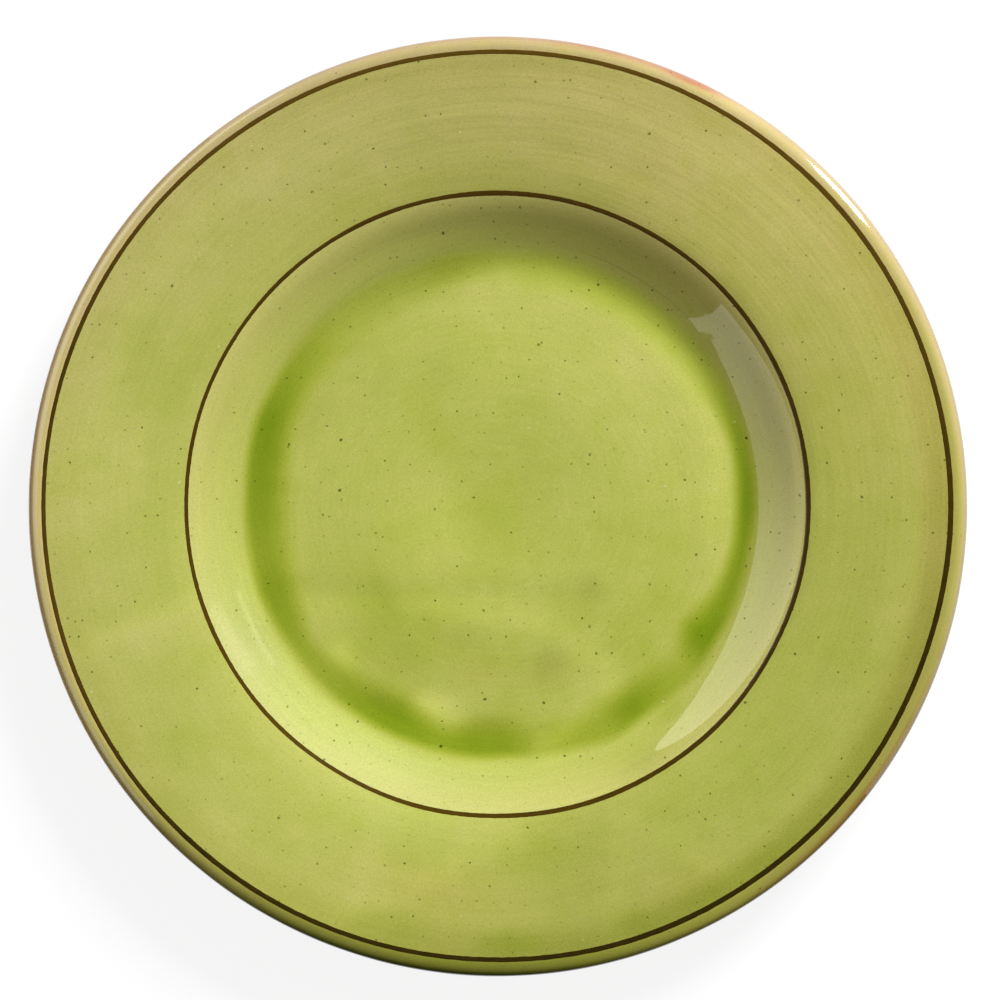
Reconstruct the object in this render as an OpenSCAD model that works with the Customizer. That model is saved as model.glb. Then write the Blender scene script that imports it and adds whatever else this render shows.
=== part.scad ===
// Glazed earthenware dinner plate: a thrown clay body with a turned foot ring, a pale slip over
// its face, and a green glaze that two brown bands divide. The rim is arched, steeper at the well
// than at the lip. Everything is turned about +Z, and the foot ring stands on z = 0.

/* [Plate] */
// Overall diameter, over the glaze
plate_d = 270; // [240:1:300]
// Diameter at which the floor and the wall of the well would meet without a rounded corner
floor_d = 145; // [120:1:158]
// Diameter at which the wall of the well and the rim would meet without a rounded shoulder
well_d = 180; // [164:1:210]
// Slope of the wall of the well, in degrees from level
wall_angle = 36.5; // [30:0.5:50]
// Slope of the rim where it leaves the shoulder, in degrees from level
rim_angle = 11.5; // [8:0.5:18]
// Slope of the rim where it meets the lip, in degrees from level
lip_angle = 4.5; // [2:0.5:7]

/* [Clay] */
// Thickness of the floor
floor_t = 5.5; // [4:0.1:8]
// Thickness of the wall of the well
wall_t = 5.5; // [4:0.1:6.5]
// Thickness of the rim where it leaves the shoulder
rim_t = 5.2; // [4.6:0.1:6.5]
// Thickness of the rim at the lip, where the clay is rolled thicker
lip_t = 6.4; // [5:0.1:8]
// Height of the upright band between the two roundings of the lip
lip_land = 0.4; // [0.2:0.1:1]
// Height of the lip's lower rounding; the upper one takes the rest
lip_low_h = 1.6; // [0.8:0.1:2.4]
// Straight length of the rim between its arch and the lip
arch_end = 1.5; // [1:0.1:4]
// Radius of the hollow corner between the floor and the wall
corner_r = 13; // [8:0.5:20]
// Radius of the shoulder between the wall and the rim
shoulder_r = 14; // [6:0.5:18]
// Radius of the hollow under the shoulder
under_shoulder_r = 10; // [4:0.5:16]

/* [Foot] */
// Height of the foot ring, which is also the depth of the recess inside it
foot_h = 3; // [2.4:0.1:3.8]
// Width of the foot ring at the table, edges included
foot_w = 6.5; // [4:0.1:9]
// Slope of the foot ring's two sides, in degrees from upright
foot_draft = 12; // [5:1:25]
// Radius of the foot ring's two edges
foot_edge_r = 0.8; // [0.3:0.1:1.2]
// Radius of the hollows at the root of the foot ring
foot_root_r = 1.5; // [0.6:0.1:1.8]

/* [Coats] */
// Thickness of the slip on the face
slip_t = 0.3; // [0.2:0.05:0.6]
// Thickness of the glaze and of the brown bands on the face
glaze_t = 0.4; // [0.2:0.05:0.8]
// Extra depth of the glaze that has pooled in the corner of the well
pool_t = 0.3; // [0.1:0.05:1]
// How far the pooled glaze reaches in over the floor from where the corner starts
pool_in = 6; // [2:0.5:10]
// Thickness of the glaze on the underside
back_t = 0.4; // [0.2:0.05:0.8]
// Width of the brown band on the shoulder, along the clay under it
well_line_w = 1.2; // [0.6:0.1:3]
// Width of the brown band inside the lip, along the clay under it
rim_line_w = 1.2; // [0.6:0.1:3]
// Distance from the start of the lip's upper rounding to the middle of its brown band
rim_line_in = 0.8; // [0.4:0.1:2]

/* [Hidden] */

// Facets round the plate in a preview
$fn = 180;
// Largest turn between two points of a rounded corner, in degrees
arc_angle = 6;
// Largest gap between a rounded corner and the straight line from one of its points to the next
arc_gap = 0.02;
// Steps of the pooled glaze's surface over the floor
pool_steps = 6;
// Lengths closer than this count as equal
tiny = 0.001;
// Points of an arc that are closer than this to the end of a coat are left out
knot_gap = 0.1;

// Point at a distance from p along a heading
function ahead(p, heading, distance) = p + distance * [cos(heading), sin(heading)];

// Point where the line from p along heading a crosses the line from q along heading b
function crossing(p, a, q, b) =
    let (gap = q - p)
    ahead(p, a, (gap.x * sin(b) - gap.y * cos(b)) / sin(b - a));

// Heading from p to q
function bearing(p, q) = atan2(q.y - p.y, q.x - p.x);

// An angle brought between -180 and 180 degrees
function wrapped(a) = a > 180 ? a - 360 : a < -180 ? a + 360 : a;

// Corners of the clay's section, as [radius, height], from the face outwards and back underneath
face_centre = [0, foot_h + floor_t];
floor_corner = [floor_d / 2, face_centre.y];
shoulder = crossing(floor_corner, wall_angle, [well_d / 2, 0], 90);
arch = crossing(shoulder, rim_angle, [(plate_d + well_d) / 4, 0], 90);
edge_top = crossing(arch, lip_angle, [plate_d / 2 - slip_t - glaze_t, 0], 90);
edge_low = edge_top - [0, lip_t / cos(lip_angle)];
arch_t = (rim_t + lip_t) / 2;
under_arch = ahead(arch, (rim_angle + lip_angle) / 2 - 90, arch_t);
under_rim = ahead(shoulder, rim_angle - 90, rim_t);
under_wall = ahead(shoulder, wall_angle - 90, wall_t);
under_shoulder = crossing(under_wall, wall_angle, under_rim, bearing(under_rim, under_arch));
foot_out_top = crossing(under_wall, wall_angle, [0, foot_h], 0);
foot_out = [foot_out_top.x - foot_h * tan(foot_draft), 0];
foot_in = foot_out - [foot_w, 0];
foot_in_top = [foot_in.x - foot_h * tan(foot_draft), foot_h];
base_centre = [0, foot_h];

// Radius that takes up a length of each leg beside a corner that turns by an angle
function corner_radius(length, angle) = length / tan(angle / 2);

lip_top_h = edge_top.y - edge_low.y - lip_land - lip_low_h;
lip_top_r = corner_radius(lip_top_h, 90 + lip_angle);
lip_low_r = corner_radius(lip_low_h, 90 - bearing(under_arch, edge_low));
arch_r = corner_radius(norm(edge_top - arch) - lip_top_h - arch_end, rim_angle - lip_angle);

// Numbers of the corners that the coats refer to
FLOOR_CORNER = 1;
SHOULDER = 2;
LIP_TOP = 4;
LIP_LOW = 5;
FOOT_OUT_TOP = 8;
FOOT_IN = 10;

// The section's corners with their radii, in the order of the walk round the clay
corners = [
    [face_centre, 0],
    [floor_corner, corner_r],
    [shoulder, shoulder_r],
    [arch, arch_r],
    [edge_top, lip_top_r],
    [edge_low, lip_low_r],
    [under_arch, arch_r - arch_t],
    [under_shoulder, under_shoulder_r],
    [foot_out_top, foot_root_r],
    [foot_out, foot_edge_r],
    [foot_in, foot_edge_r],
    [foot_in_top, foot_root_r],
    [base_centre, 0]
];
last = len(corners) - 1;

// Heading of the leg after corner i, the turn at corner i, and what its rounding takes of a leg
function leg_heading(i) = bearing(corners[i][0], corners[i + 1][0]);
function turn_at(i) = i == 0 || i == last ? 0 : wrapped(leg_heading(i) - leg_heading(i - 1));
function setback(i) = corners[i][1] * tan(abs(turn_at(i)) / 2);

// The walk's stretches, as [start, heading, length, turn]: each leg, and the arc at its far corner
function leg(i) = [
    ahead(corners[i][0], leg_heading(i), setback(i)),
    leg_heading(i),
    norm(corners[i + 1][0] - corners[i][0]) - setback(i) - setback(i + 1),
    0
];
function arc(i) = [
    ahead(corners[i][0], leg_heading(i - 1), -setback(i)),
    leg_heading(i - 1),
    corners[i][1] * abs(turn_at(i)) * PI / 180,
    turn_at(i)
];
stretches = [
    for (i = [0 : last - 1])
    each i + 1 < last ? [leg(i), arc(i + 1)] : [leg(i)]
];

// Radius of the arc that is stretch i, and the turn between two of its points
function arc_radius(i) = stretches[i][2] / (abs(stretches[i][3]) * PI / 180);
function arc_step(i) = min(arc_angle, 2 * acos(1 - arc_gap / arc_radius(i)));

// Distance walked from the centre of the face to the start of each stretch, and to the end
function walked(i) = i == 0 ? 0 : walked(i - 1) + stretches[i - 1][2];
starts = [for (i = [0 : len(stretches)]) walked(i)];

// Distance walked to places beside corner i: along the arc there and along the leg after it
function arc_start(i) = starts[2 * i - 1];
function arc_end(i) = starts[2 * i];
function arc_middle(i) = (arc_start(i) + arc_end(i)) / 2;
function leg_middle(i) = (arc_end(i) + arc_start(i + 1)) / 2;

// Number of the stretch that a distance along the walk falls in
function stretch_at(s, i = 0) = i == len(stretches) - 1 || s < starts[i + 1] ? i : stretch_at(s, i + 1);

// Point above the clay's surface by a height, at a distance along the walk
function above(s, height) =
    let (i = stretch_at(s))
    let (piece = stretches[i])
    let (turned = piece[3] * (s - starts[i]) / piece[2])
    let (chord = piece[3] == 0 ? s - starts[i] : 2 * arc_radius(i) * sin(abs(turned) / 2))
    ahead(ahead(piece[0], piece[1] + turned / 2, chord), piece[1] + turned + 90, height);

// Places along the walk where one coat ends and the next begins
well_line_from = arc_middle(SHOULDER) - well_line_w / 2;
well_line_to = arc_middle(SHOULDER) + well_line_w / 2;
rim_line_from = arc_start(LIP_TOP) + rim_line_in - rim_line_w / 2;
rim_line_to = rim_line_from + rim_line_w;
face_end = arc_middle(LIP_LOW);
back_end = leg_middle(FOOT_OUT_TOP);
base_start = leg_middle(FOOT_IN);
walk_end = starts[len(stretches)];
coat_ends = [
    0, well_line_from, well_line_to, rim_line_from, rim_line_to,
    face_end, back_end, base_start, walk_end
];

// Where the pooled glaze starts and ends along the walk
pool_from = arc_start(FLOOR_CORNER) - pool_in;
pool_to = arc_end(FLOOR_CORNER);

// Points of the walk that every solid shares: the ends of stretches and coats, and steps on arcs
// and under the pooled glaze
pool_bends = [for (k = [0 : pool_steps - 1]) pool_from + pool_in * k / pool_steps];
stretch_bends = [
    for (i = [1 : len(stretches) - 1])
    let (steps = stretches[i][3] == 0 ? 1 : ceil(abs(stretches[i][3]) / arc_step(i)))
    for (k = [0 : steps - 1])
    starts[i] + stretches[i][2] * k / steps
];
bends = concat(pool_bends, stretch_bends);
knots = [
    for (i = [0 : len(coat_ends) - 2])
    each concat(
        coat_ends[i],
        [for (s = bends) if (s > coat_ends[i] + knot_gap && s < coat_ends[i + 1] - knot_gap) s]
    ),
    walk_end
];

// Share of the pooled glaze at a place: none outside its reach, all of it in the middle
function pool_share(s) =
    let (share = (s - pool_from) / (pool_to - pool_from))
    share > 0 && share < 1 ? pow(sin(180 * share), 2) : 0;

// Coat from one place of the walk to another, lying on what covers the clay up to a height
module coat(from, to, under, thickness, pool = 0) {
    places = [for (s = knots) if (s > from - tiny && s < to + tiny) s];
    bottom = [for (s = places) above(s, under)];
    top = [for (s = places) above(s, under + thickness + pool * pool_share(s))];
    rotate_extrude()
        polygon(concat(bottom, [for (i = [len(top) - 1 : -1 : 0]) top[i]]));
}

module clay_body() {
    color("#b97a5a")
        rotate_extrude()
            polygon([for (s = knots) above(s, 0)]);
}

module slip_coat() {
    color("#e6d3a6") coat(0, face_end, 0, slip_t);
}

module well_glaze() {
    color("#b2b858") coat(0, well_line_from, slip_t, glaze_t, pool_t);
}

module well_line() {
    color("#4a3408") coat(well_line_from, well_line_to, slip_t, glaze_t);
}

module rim_glaze() {
    color("#b2b056") coat(well_line_to, rim_line_from, slip_t, glaze_t);
}

module rim_line() {
    color("#4a3408") coat(rim_line_from, rim_line_to, slip_t, glaze_t);
}

module lip_glaze() {
    color("#cdbc76") coat(rim_line_to, face_end, slip_t, glaze_t);
}

module back_glaze() {
    color("#bfb06a") coat(face_end, back_end, 0, back_t);
}

module base_glaze() {
    color("#bfb06a") coat(base_start, walk_end, 0, back_t);
}

clay_body();
slip_coat();
well_glaze();
well_line();
rim_glaze();
rim_line();
lip_glaze();
back_glaze();
base_glaze();
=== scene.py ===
# Looks of a glazed earthenware dinner plate, in metres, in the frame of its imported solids.
# Each coat is turned again from the same section as a finer, hand-made surface: the rim waves a
# little, the brown bands waver, and the glaze is thin on the wall and deep in the corner of the well.
import math

import bpy
import numpy as np
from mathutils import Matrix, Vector


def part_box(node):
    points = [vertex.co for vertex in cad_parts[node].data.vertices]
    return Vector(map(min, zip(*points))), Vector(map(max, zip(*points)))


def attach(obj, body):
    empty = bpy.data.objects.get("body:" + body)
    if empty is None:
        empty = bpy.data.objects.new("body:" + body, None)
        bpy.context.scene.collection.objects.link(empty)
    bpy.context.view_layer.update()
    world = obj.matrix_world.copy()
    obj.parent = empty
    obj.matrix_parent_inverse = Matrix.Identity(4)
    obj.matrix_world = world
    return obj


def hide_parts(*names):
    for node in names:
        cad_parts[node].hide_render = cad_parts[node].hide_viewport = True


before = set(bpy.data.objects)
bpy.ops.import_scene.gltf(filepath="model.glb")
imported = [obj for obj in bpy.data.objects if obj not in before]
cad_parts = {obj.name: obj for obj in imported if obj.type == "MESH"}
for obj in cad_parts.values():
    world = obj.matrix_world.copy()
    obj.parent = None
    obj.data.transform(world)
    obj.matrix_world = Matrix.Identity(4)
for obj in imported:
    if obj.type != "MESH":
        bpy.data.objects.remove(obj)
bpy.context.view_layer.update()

MM = 0.001

# Driving sizes of the section, the same as in the solids
PLATE_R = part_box("lip_glaze")[1].x
FLOOR_R = 72.5 * MM
WELL_R = 90 * MM
WALL_ANGLE = math.radians(36.5)
RIM_ANGLE = math.radians(11.5)
LIP_ANGLE = math.radians(4.5)
FLOOR_T = 5.5 * MM
WALL_T = 5.5 * MM
RIM_T = 5.2 * MM
LIP_T = 6.4 * MM
LIP_LAND = 0.4 * MM
LIP_LOW_H = 1.6 * MM
ARCH_END = 1.5 * MM
CORNER_R = 13 * MM
SHOULDER_R = 14 * MM
UNDER_SHOULDER_R = 10 * MM
FOOT_H = 3 * MM
FOOT_W = 6.5 * MM
FOOT_DRAFT = math.radians(12)
FOOT_EDGE_R = 0.8 * MM
FOOT_ROOT_R = 1.5 * MM
SLIP_T = 0.3 * MM
GLAZE_T = 0.4 * MM
POOL_IN = 6 * MM
BACK_T = 0.4 * MM
RIM_LINE_IN = 0.8 * MM

# Points round the plate, and the seed of every random choice
SEGMENTS = 800
SEED = 7
THETA = np.arange(SEGMENTS) * 2 * math.pi / SEGMENTS
AZIMUTH = np.degrees(THETA)


def ahead(point, heading, distance):
    """Point at a distance along a heading."""
    return point + distance * np.array([math.cos(heading), math.sin(heading)])


def crossing(p, a, q, b):
    """Point where the line from p along heading a crosses the line from q along heading b."""
    gap = q - p
    return ahead(p, a, (gap[0] * math.sin(b) - gap[1] * math.cos(b)) / math.sin(b - a))


def bearing(p, q):
    """Heading from p to q."""
    return math.atan2(q[1] - p[1], q[0] - p[0])


class Walk:
    """The clay's section, walked from the middle of the face round the lip to the middle underneath."""

    def __init__(self, corners):
        points = np.array([point for point, _ in corners])
        radii = [radius for _, radius in corners]
        headings = [bearing(p, q) for p, q in zip(points, points[1:])]
        bends = [math.remainder(b - a, 2 * math.pi) for a, b in zip(headings, headings[1:])]
        turns = [0.0, *bends, 0.0]
        backs = [radius * math.tan(abs(turn) / 2) for radius, turn in zip(radii, turns)]
        stretches = []
        for i, heading in enumerate(headings):
            length = np.linalg.norm(points[i + 1] - points[i]) - backs[i] - backs[i + 1]
            stretches.append((ahead(points[i], heading, backs[i]), heading, length, 0.0))
            if i + 1 < len(headings):
                turn = turns[i + 1]
                start = ahead(points[i + 1], heading, -backs[i + 1])
                stretches.append((start, heading, radii[i + 1] * abs(turn), turn))
        self.places, self.headings, self.lengths, self.turns = map(np.array, zip(*stretches))
        self.starts = np.concatenate([[0], np.cumsum(self.lengths)])
        self.end = self.starts[-1]

    def arc_start(self, corner):
        return self.starts[2 * corner - 1]

    def arc_end(self, corner):
        return self.starts[2 * corner]

    def arc_middle(self, corner):
        return (self.arc_start(corner) + self.arc_end(corner)) / 2

    def leg_middle(self, corner):
        return (self.arc_end(corner) + self.arc_start(corner + 1)) / 2

    def above(self, s, height):
        """Radius and level of the point above the clay by a height, at a distance along the walk."""
        i = np.clip(np.searchsorted(self.starts, s, side="right") - 1, 0, len(self.lengths) - 1)
        gone = s - self.starts[i]
        turned = self.turns[i] * gone / self.lengths[i]
        half = turned / 2
        chord = gone * np.where(half == 0, 1, np.sin(half) / np.where(half == 0, 1, half))
        along = self.headings[i] + half
        normal = self.headings[i] + turned + math.pi / 2
        radius = self.places[i, 0] + chord * np.cos(along) + height * np.cos(normal)
        level = self.places[i, 1] + chord * np.sin(along) + height * np.sin(normal)
        return radius, level


def section():
    """The clay's corners, as in the solids, with the radius of each."""
    face_centre = np.array([0, FOOT_H + FLOOR_T])
    floor_corner = np.array([FLOOR_R, face_centre[1]])
    upright = math.pi / 2
    shoulder = crossing(floor_corner, WALL_ANGLE, np.array([WELL_R, 0]), upright)
    arch = crossing(shoulder, RIM_ANGLE, np.array([(PLATE_R + WELL_R) / 2, 0]), upright)
    edge_top = crossing(arch, LIP_ANGLE, np.array([PLATE_R - SLIP_T - GLAZE_T, 0]), upright)
    edge_low = edge_top - [0, LIP_T / math.cos(LIP_ANGLE)]
    arch_t = (RIM_T + LIP_T) / 2
    under_arch = ahead(arch, (RIM_ANGLE + LIP_ANGLE) / 2 - upright, arch_t)
    under_rim = ahead(shoulder, RIM_ANGLE - upright, RIM_T)
    under_wall = ahead(shoulder, WALL_ANGLE - upright, WALL_T)
    under_shoulder = crossing(under_wall, WALL_ANGLE, under_rim, bearing(under_rim, under_arch))
    foot_out_top = crossing(under_wall, WALL_ANGLE, np.array([0, FOOT_H]), 0)
    foot_out = np.array([foot_out_top[0] - FOOT_H * math.tan(FOOT_DRAFT), 0])
    foot_in = foot_out - [FOOT_W, 0]
    foot_in_top = np.array([foot_in[0] - FOOT_H * math.tan(FOOT_DRAFT), FOOT_H])
    lip_top_h = edge_top[1] - edge_low[1] - LIP_LAND - LIP_LOW_H
    lip_top_r = lip_top_h / math.tan((upright + LIP_ANGLE) / 2)
    lip_low_r = LIP_LOW_H / math.tan((upright - bearing(under_arch, edge_low)) / 2)
    arch_reach = np.linalg.norm(edge_top - arch) - lip_top_h - ARCH_END
    arch_r = arch_reach / math.tan((RIM_ANGLE - LIP_ANGLE) / 2)
    return [
        (face_centre, 0),
        (floor_corner, CORNER_R),
        (shoulder, SHOULDER_R),
        (arch, arch_r),
        (edge_top, lip_top_r),
        (edge_low, lip_low_r),
        (under_arch, arch_r - arch_t),
        (under_shoulder, UNDER_SHOULDER_R),
        (foot_out_top, FOOT_ROOT_R),
        (foot_out, FOOT_EDGE_R),
        (foot_in, FOOT_EDGE_R),
        (foot_in_top, FOOT_ROOT_R),
        (np.array([0, FOOT_H]), 0),
    ]


walk = Walk(section())
# Corners of the walk, by their number in it
FLOOR_CORNER, SHOULDER, LIP_TOP, LIP_LOW, FOOT_OUT_TOP, FOOT_IN, FOOT_IN_TOP = 1, 2, 4, 5, 8, 10, 11


# Hand-made irregularities

# Height of the waves round the rim, by how many there are, with the azimuth of a crest
RIM_WAVES = [(2, 0.25 * MM, 50), (3, 0.15 * MM, 200), (5, 0.06 * MM, 80)]
# How far the outline is out along Y and in along X, as a share of its radius
OVAL = 0.0007
# Slope of the face as it was thrown, in degrees, by radius in mm
FACE_SLOPES = [
    (0, 0), (6, 0.8), (12, 2.7), (17, 3.5), (23, 2.3), (29, 2.2), (35, 0.5), (40, -2), (46, -2.7),
    (52, -3.6), (58, -2.4), (61, -2.1), (65, -4.2), (66.2, -3.6), (68, 0.5), (69.2, 4.5), (72.5, 19),
    (74.8, 30), (76, 32.5), (78, 34.7), (80, 36.8), (82.4, 39.2), (84, 39.8), (85.5, 37.8), (86.7, 35),
    (88.4, 31.5), (90, 25), (92.2, 19), (93.4, 16.5), (95.6, 13.5), (98, 11.5), (101, 10), (109, 9),
    (112, 7.5), (115.5, 5.8), (126, 4.7), (130, 4.5),
]
# Height of the glaze's surface where it has pooled in the corner
POOL_RISE = 0.05 * MM
# Height of the ripples in the glaze, all over and where it crawled at the north-east of the wall
RIPPLE = 0.006 * MM
CRAWL = 0.005 * MM
CRAWL_AT = 42
CRAWL_SPAN = 5
# Share of the wall's length at both ends over which the crawling fades out
CRAWL_FADE = 0.15
# Humps and dents there: height in mm, azimuth, half length in degrees, radius and half width in mm
CRAWL_HUMPS = [
    (-0.03, 39, 5.5, 84, 3.2),
    (-0.05, 45.5, 1.3, 77, 2.4),
    (0.07, 38.8, 2.6, 76.3, 2.6),
    (0.05, 40.8, 6, 78.6, 1.9),
]


def smooth(value, low, high):
    """0 at low and beyond it, 1 at high and beyond it, and an even S between them."""
    t = np.clip((value - low) / (high - low), 0, 1)
    return t * t * (3 - 2 * t)


def turn_from(azimuth):
    """How far round every azimuth is from one of them, from -180 to 180 degrees."""
    return (AZIMUTH - azimuth + 180) % 360 - 180


def near(azimuth, span):
    """1 at an azimuth, falling off on both sides over a half span in degrees."""
    return np.exp(-((turn_from(azimuth) / span) ** 2))


def ripples(seed, count, shortest, longest):
    """A smooth random field over the plate with waves between two lengths, about -1 to 1."""
    rng = np.random.default_rng(seed)
    lengths = np.exp(rng.uniform(math.log(shortest), math.log(longest), count))
    headings = rng.uniform(0, 2 * math.pi, count)
    phases = rng.uniform(0, 2 * math.pi, count)

    def field(x, y):
        total = np.zeros(np.broadcast(x, y).shape)
        for length, heading, phase in zip(lengths, headings, phases):
            along = x * math.cos(heading) + y * math.sin(heading)
            total += np.cos(2 * math.pi * along / length + phase)
        return total / math.sqrt(count)

    return field


def wobble(seed, lowest, highest):
    """A smooth random value round the plate, made of lowest to highest waves a turn, about -1 to 1."""
    rng = np.random.default_rng(seed)
    total = np.zeros(SEGMENTS)
    counts = np.arange(lowest, highest + 1)
    for count in counts:
        total += rng.normal() * np.cos(count * THETA + rng.uniform(0, 2 * math.pi))
    return total / math.sqrt(len(counts))


def spread_out(radius):
    """x and y of rings, one column an azimuth."""
    return radius * np.cos(THETA), radius * np.sin(THETA)


def warped(radius, level):
    """Points of rings, one column an azimuth, with the rim's waves and the oval put in."""
    share = smooth(radius, FLOOR_R, PLATE_R)
    for count, height, crest in RIM_WAVES:
        level = level + share * height * np.cos(count * (THETA - math.radians(crest)))
    radius = radius * (1 - OVAL * np.cos(2 * THETA))
    return np.stack([*spread_out(radius), level], axis=-1)


# Where the coats meet, for each azimuth

# The bands as they were brushed: width, how far out they lie, how far off the centre and towards which
# azimuth, what share of the width they swell and shrink by and the azimuth where they are widest
WELL_BAND = (1.36 * MM, -0.27 * MM, 0.6 * MM, 108, 0.12, 345)
RIM_BAND = (1.27 * MM, -0.66 * MM, 0.29 * MM, 152, 0.14, 335)
# How far a band stands proud, how far its middle and edges waver, and by what share its width does
LINE_RISE = 0.04 * MM
LINE_WAVER = 0.07 * MM
LINE_RAG = 0.025 * MM
LINE_UNEVEN = 0.06
# How far the other edges waver, on the lip and underneath
FACE_RAG = 0.25 * MM
UNDER_RAG = 0.2 * MM
# Fewest and most waves a turn in a band's middle, in its width, in its edges and in the other edges
WAVER_WAVES = (3, 12)
UNEVEN_WAVES = (2, 20)
LINE_RAG_WAVES = (60, 240)
RAG_WAVES = (3, 40)


def band(middle, brushed, seed):
    """Both edges of a brush-drawn band along the walk."""
    width, out, offset, towards, swell, widest = brushed
    middle = middle + out + offset * np.cos(THETA - math.radians(towards))
    middle = middle + LINE_WAVER * wobble(seed, *WAVER_WAVES)
    uneven = LINE_UNEVEN * wobble(seed + 1, *UNEVEN_WAVES)
    half = width / 2 * (1 + swell * np.cos(THETA - math.radians(widest)) + uneven)
    low = middle - half + LINE_RAG * wobble(seed + 2, *LINE_RAG_WAVES)
    high = middle + half + LINE_RAG * wobble(seed + 3, *LINE_RAG_WAVES)
    return low, high


well_line_from, well_line_to = band(walk.arc_middle(SHOULDER), WELL_BAND, SEED)
rim_line_middle = walk.arc_start(LIP_TOP) + RIM_LINE_IN
rim_line_from, rim_line_to = band(rim_line_middle, RIM_BAND, SEED + 10)
face_end = walk.arc_middle(LIP_LOW) + FACE_RAG * wobble(SEED + 20, *RAG_WAVES)
back_end = walk.leg_middle(FOOT_OUT_TOP) + UNDER_RAG * wobble(SEED + 21, *RAG_WAVES)
base_start = walk.leg_middle(FOOT_IN) + UNDER_RAG * wobble(SEED + 22, *RAG_WAVES)


# Depth and ground of the green glaze, with depth as a multiple of that on the middle of the floor

# The pool in the corner of the well: azimuth, extra depth, radius in mm of its inner and outer edges
POOL = [
    (0, 1.75, 69.7, 74.3), (16, 1.2, 70.4, 74.6), (32, 0.53, 68.2, 74.8), (48, 0.42, 67, 74.4),
    (64, 0.54, 66.4, 74.2), (80, 0.4, 66.2, 74.6), (88, 0.33, 68.8, 74), (100, 0.62, 66.8, 74),
    (112, 0.4, 64.2, 73.4), (130, 0.4, 64.6, 74.4), (144, 0.85, 64.8, 73.8), (152, 1.2, 65.2, 73.7),
    (160, 1.65, 65.4, 74.1), (176, 1.35, 63, 73), (192, 1.05, 63, 73), (200, 1.3, 64, 73.4),
    (216, 0.9, 67, 72.6), (224, 0.75, 65.3, 72.6), (232, 1.15, 64.4, 72.8), (244, 1.65, 63, 72.6),
    (256, 1.25, 66.6, 72.8), (264, 1.5, 64, 72.8), (272, 1.35, 63.5, 72.2), (280, 0.45, 65, 73),
    (288, 0.75, 67, 73.6), (296, 0.8, 64.5, 75), (304, 1.6, 65.6, 73.7), (312, 1, 65.2, 74.2),
    (320, 0.7, 66.8, 75), (328, 1.95, 64.8, 73.7), (336, 1.35, 67.3, 74), (344, 1.3, 68.7, 73.8),
    (352, 1.4, 69.5, 73.8),
]
# Runs and thin spots: x and y of the middle in mm, half length along the azimuth, half width, depth
WELL_SPOTS = [
    (-37, -26, 9, 7, 0.25), (-43, -43, 8, 5, 0.12), (-16, -56, 9, 5, -0.12), (1, -60, 8, 4, 0.2),
    (17, -61, 5, 3, 0.2), (51, -47, 7, 4, -0.12), (48.5, -28, 8, 7, 0.32), (48, 0, 20, 12, 0.08),
    (-18, 22, 5, 12, 0.15), (-33, -29, 7, 6, 0.12), (-5, -44, 14, 5, 0.16), (24, -30, 9, 7, 0.14),
    (1, -2, 9, 9, 0.2), (-19, 2, 8, 6, -0.1), (-8, 8, 8, 6, -0.12), (8, -33, 8, 4, -0.12),
    (40, 40, 16, 9, -0.1), (22, 38, 22, 10, -0.08), (36, -36, 7, 4, 0.14), (-24, -41, 10, 12, 0.18),
    (42, -42, 6, 5, 0.3), (52, -14, 7, 6, 0.15), (-10, -35, 7, 5, 0.12), (18, -48, 9, 6, 0.12),
    (-20, 35, 7, 6, 0.15), (-8, 61, 14, 5, -0.1), (49.5, -59, 5, 3, 0.32), (45, -57.5, 6, 2.5, -0.22),
    (-38, -38, 8, 7, 0.15), (41, -71, 10, 6, 0.17), (-32, -75.5, 18, 7, -0.1), (-28, -53, 6, 3.5, 0.15),
    (-30, -27, 22, 12, 0.08), (42, 13, 9, 14, -0.1),
]
RIM_SPOTS = [
    (-8, 102, 16, 9, 0.1), (-90, 38, 14, 6, 0.12), (4, -125, 9, 4, 0.4), (38, -118, 6, 4, 0.25),
    (-91, -68, 8, 9, 0.2), (-103, 45, 12, 7, 0.2), (-31, -118, 12, 4, 0.2), (63, 66, 14, 8, 0.1),
    (-100, -36, 5, 14, -0.15), (-38, -104, 5, 15, -0.15), (44, -106, 6, 14, -0.15),
    (96, -40, 12, 8, 0.12), (20, -100, 14, 6, 0.12), (97.6, -26, 10, 5, -0.12), (66, -107, 16, 4, 0.12),
    (-44, -118, 6, 5, 0.06),
]
# Brown stain where the slip shows: the same measures
WELL_STAINS = [(-5, -48, 8, 4, 0.5), (15, -48, 8, 4, 0.5)]
RIM_STAINS = [(-19, -111, 15, 8, 0.6), (55, -108, 14, 7, 0.6), (50, 105, 5, 20, 0.2)]
# Lighter and darker patches, partly the slip and partly painted shading of the glaze's undulations: the same
# measures
WELL_SHADES = [
    (-45, -43, 5, 4, 0.18), (-18, -58, 6, 3.5, 0.2), (18, -66, 7, 3, 0.1), (15, -45, 6, 5, -0.14),
    (-28, -43, 7, 5, -0.04), (-2, -63, 6, 4, -0.1), (-34, -55, 4, 3, -0.08), (-33, -26, 6, 4, -0.08),
    (27, -24, 5, 4, -0.08), (-35, 35, 16, 9, -0.06), (-53, 28, 10, 5, -0.08), (-9, -38, 9, 3.5, -0.07),
    (-16, 40, 8, 10, -0.06), (-19, -6, 12, 12, 0.05), (43, -74.5, 9, 3.5, -0.1),
    (59.8, -34.5, 5, 3, 0.08), (61.5, 1, 10, 4, 0.07), (-62, -17, 9, 5, 0.06), (-67, -38.5, 10, 5, -0.07),
    (-51, -51, 8, 3.5, -0.07), (-21, -72, 16, 2.5, -0.05), (-43, 43, 9, 5, -0.06),
    (-71, 41, 9, 3.5, 0.06), (0, -67, 6, 2.5, 0.07),
]
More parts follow.
